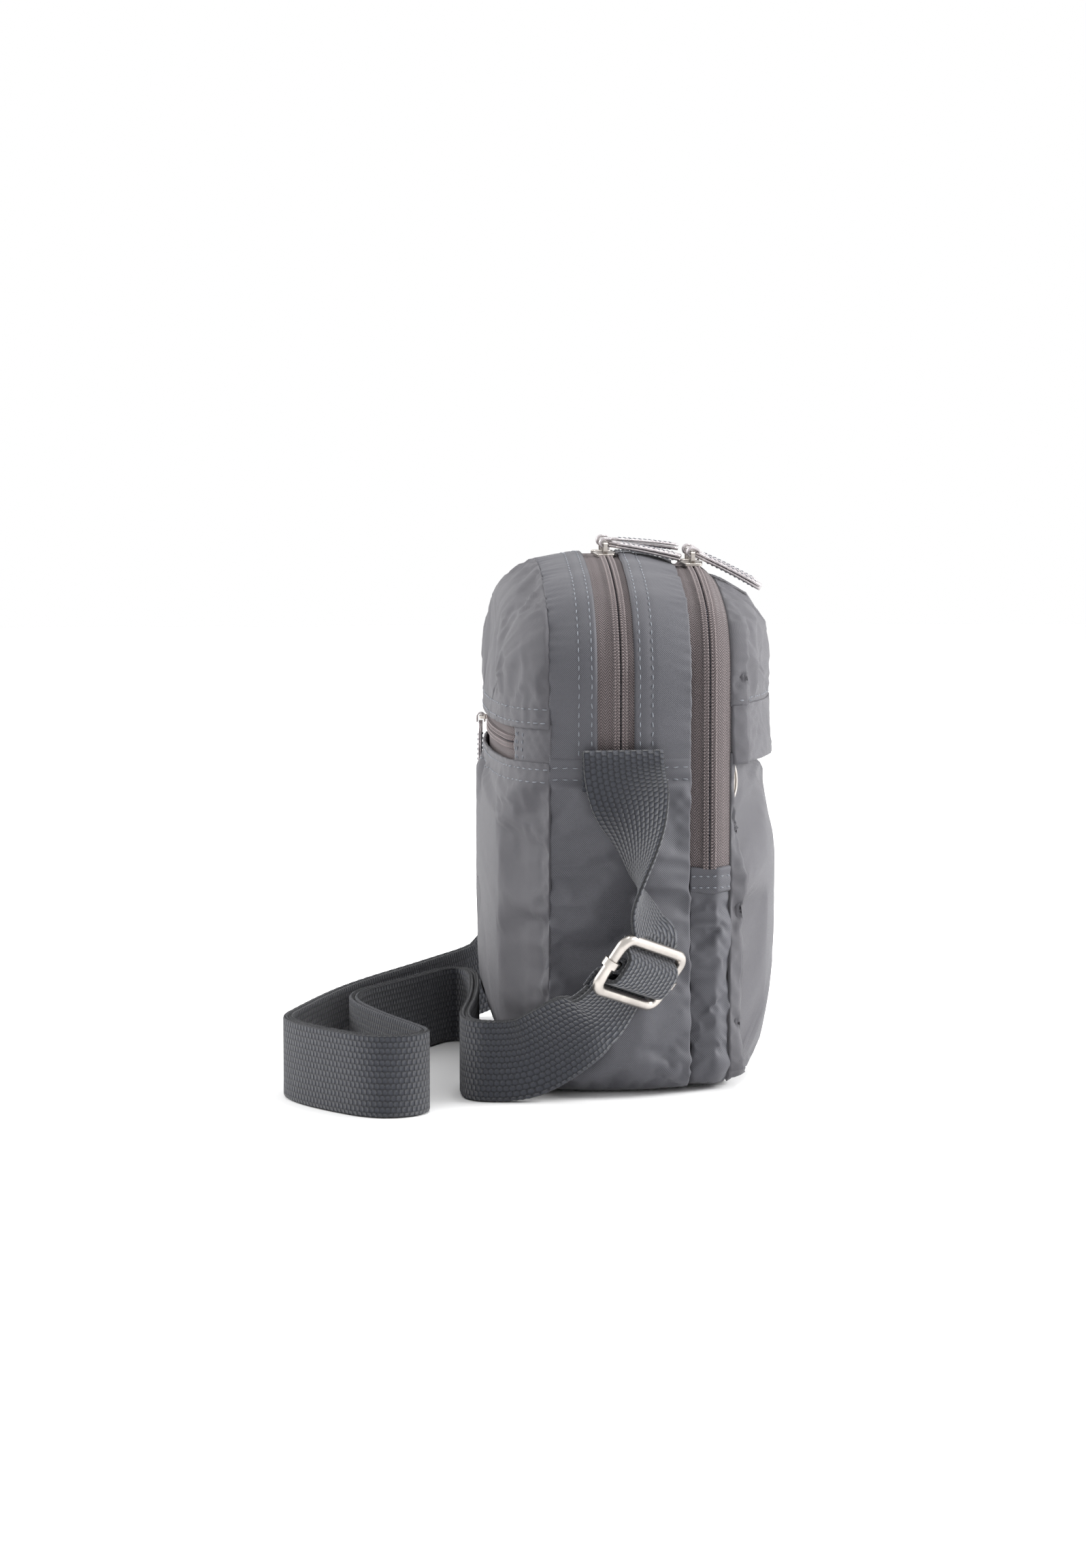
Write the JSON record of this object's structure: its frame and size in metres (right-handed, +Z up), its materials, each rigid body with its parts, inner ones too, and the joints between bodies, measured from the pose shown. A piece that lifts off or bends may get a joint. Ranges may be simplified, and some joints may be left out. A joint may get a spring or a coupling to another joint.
{
  "type": "crossbody bag",
  "caption": "Small upright fabric crossbody bag with an arched top, twin zip compartments, zipped front and back pockets, strip pulls and a webbing strap with a sliding buckle.",
  "frame": {"origin": "Middle of the bounding box of the bag without its strap, on the floor it stands on.", "axes": "+Z up. X is the width: -X is the side with the strap buckle, +X the side with the strap ring. -Y is the front with the badge pull, +Y the back."},
  "size_m": [0.2408, 0.2024, 0.2196],
  "materials": {
    "shell_nylon": "matt grey woven nylon with pale stitching",
    "lining": "plain weave lining",
    "binding": "seam binding tape",
    "board": "stiffening board",
    "zip_tape": "herringbone zip tape",
    "zip_coil": "coil zip under dark tape",
    "zip_metal": "satin nickel",
    "pull_leather": "metallic silver leather",
    "webbing": "slate woven webbing",
    "buckle_metal": "satin nickel"
  },
  "bodies": {
    "bag": {"back_panel_lower": "shell_nylon", "back_panel_yoke": "shell_nylon", "back_pocket_lining": "lining", "back_zip_coil": "zip_coil", "back_zip_end_tabs": "shell_nylon", "back_zip_tape_lower": "zip_tape", "back_zip_tape_upper": "zip_tape", "base_board": "board", "divider_wall": "lining", "front_flap": "shell_nylon", "front_panel_lower": "shell_nylon", "front_pocket_lining": "lining", "front_yoke": "shell_nylon", "gusset_lower": "shell_nylon", "gusset_zip_strip_back": "shell_nylon", "gusset_zip_strip_front": "shell_nylon", "main_lining": "lining", "main_zip_coil": "zip_coil", "main_zip_tape_back": "zip_tape", "main_zip_tape_front": "zip_tape", "panel_zip_coil": "zip_coil", "panel_zip_tape_lower": "zip_tape", "panel_zip_tape_upper": "zip_tape", "pocket_gusset": "shell_nylon", "pocket_zip_coil": "zip_coil", "pocket_zip_end_tabs": "shell_nylon", "pocket_zip_tape_back": "zip_tape", "pocket_zip_tape_front": "zip_tape", "seam_binding_back": "binding", "seam_binding_front": "binding", "strap_anchor_near": "webbing", "strap_buckle_frame": "buckle_metal", "strap_buckle_pass": "webbing", "strap_drop": "webbing", "strap_inner_floor": "webbing", "strap_inner_return": "webbing", "strap_inner_rise": "webbing", "strap_outer_floor": "webbing", "strap_outer_return": "webbing", "strap_outer_rise": "webbing", "strap_ring_tab": "webbing"},
    "main_zip_near_slider": {"main_zip_near_slider": "zip_metal"},
    "main_zip_near_pull": {"main_zip_near_pull": "pull_leather"},
    "main_zip_far_slider": {"main_zip_far_slider": "zip_metal"},
    "main_zip_far_pull": {"main_zip_far_pull": "pull_leather"},
    "pocket_zip_near_slider": {"pocket_zip_near_slider": "zip_metal"},
    "pocket_zip_near_pull": {"pocket_zip_near_pull": "pull_leather"},
    "pocket_zip_far_slider": {"pocket_zip_far_slider": "zip_metal"},
    "pocket_zip_far_pull": {"pocket_zip_far_pull": "pull_leather"},
    "back_zip_slider": {"back_zip_slider": "zip_metal"},
    "back_zip_pull": {"back_zip_pull": "pull_leather"},
    "panel_zip_slider": {"panel_zip_slider": "zip_metal"},
    "panel_zip_badge": {"panel_zip_badge": "zip_metal"},
    "strap_bar": {"strap_buckle_bar": "buckle_metal", "strap_bar_wrap": "webbing"},
    "strap_ring": {"strap_ring": "buckle_metal", "strap_ring_fold": "webbing"}
  },
  "joints": [
    {"name": "main_zip_near_slide", "type": "hinge", "parent": "bag", "child": "main_zip_near_slider", "pos_m": [0, 0.00962, 0.043], "axis": [0, 1, 0], "range_deg": [-15, 0]},
    {"name": "main_zip_near_pull_swing", "type": "hinge", "parent": "main_zip_near_slider", "child": "main_zip_near_pull", "pos_m": [-0.01396, 0.00962, 0.21644], "axis": [0.9968, 0, 0.0802], "range_deg": [-150, 0]},
    {"name": "main_zip_far_slide", "type": "hinge", "parent": "bag", "child": "main_zip_far_slider", "pos_m": [0, 0.00962, 0.043], "axis": [0, 1, 0], "range_deg": [0, 19]},
    {"name": "main_zip_far_pull_swing", "type": "hinge", "parent": "main_zip_far_slider", "child": "main_zip_far_pull", "pos_m": [0.00182, 0.00962, 0.21699], "axis": [0.9999, 0, -0.0105], "range_deg": [-150, 0]},
    {"name": "pocket_zip_near_slide", "type": "hinge", "parent": "bag", "child": "pocket_zip_near_slider", "pos_m": [0, -0.02638, 0.043], "axis": [0, 1, 0], "range_deg": [-14, 0]},
    {"name": "pocket_zip_near_pull_swing", "type": "hinge", "parent": "pocket_zip_near_slider", "child": "pocket_zip_near_pull", "pos_m": [-0.01454, -0.02638, 0.21258], "axis": [0.9963, 0, 0.0854], "range_deg": [-150, 0]},
    {"name": "pocket_zip_far_slide", "type": "hinge", "parent": "bag", "child": "pocket_zip_far_slider", "pos_m": [0, -0.02638, 0.043], "axis": [0, 1, 0], "range_deg": [0, 18.5]},
    {"name": "pocket_zip_far_pull_swing", "type": "hinge", "parent": "pocket_zip_far_slider", "child": "pocket_zip_far_pull", "pos_m": [0.00148, -0.02638, 0.21319], "axis": [1, 0, -0.0087], "range_deg": [-150, 0]},
    {"name": "back_zip_slide", "type": "hinge", "parent": "bag", "child": "back_zip_slider", "pos_m": [0, -0.42138, 0.1394], "axis": [0, 0, 1], "range_deg": [0, 12.8]},
    {"name": "back_zip_pull_swing", "type": "hinge", "parent": "back_zip_slider", "child": "back_zip_pull", "pos_m": [0.05367, 0.05712, 0.1394], "axis": [0.9938, -0.1115, 0], "range_deg": [0, 150]},
    {"name": "panel_zip_slide", "type": "hinge", "parent": "bag", "child": "panel_zip_slider", "pos_m": [0, 0.07862, 0.141], "axis": [0, 0, 1], "range_deg": [0, 65]},
    {"name": "panel_zip_badge_swing", "type": "hinge", "parent": "panel_zip_slider", "child": "panel_zip_badge", "pos_m": [-0.07256, -0.03528, 0.141], "axis": [-0.8434, 0.5373, 0], "range_deg": [0, 1.8]},
    {"name": "strap_bar_shift", "type": "slide", "parent": "bag", "child": "strap_bar", "axis": [-0.155, -0.5031, 0.8502], "range_m": [0, 0.0015]},
    {"name": "strap_ring_swing", "type": "hinge", "parent": "bag", "child": "strap_ring", "pos_m": [0.0945, 0.00962, 0.111], "axis": [0, 1, 0], "range_deg": [-25, 0]}
  ]
}
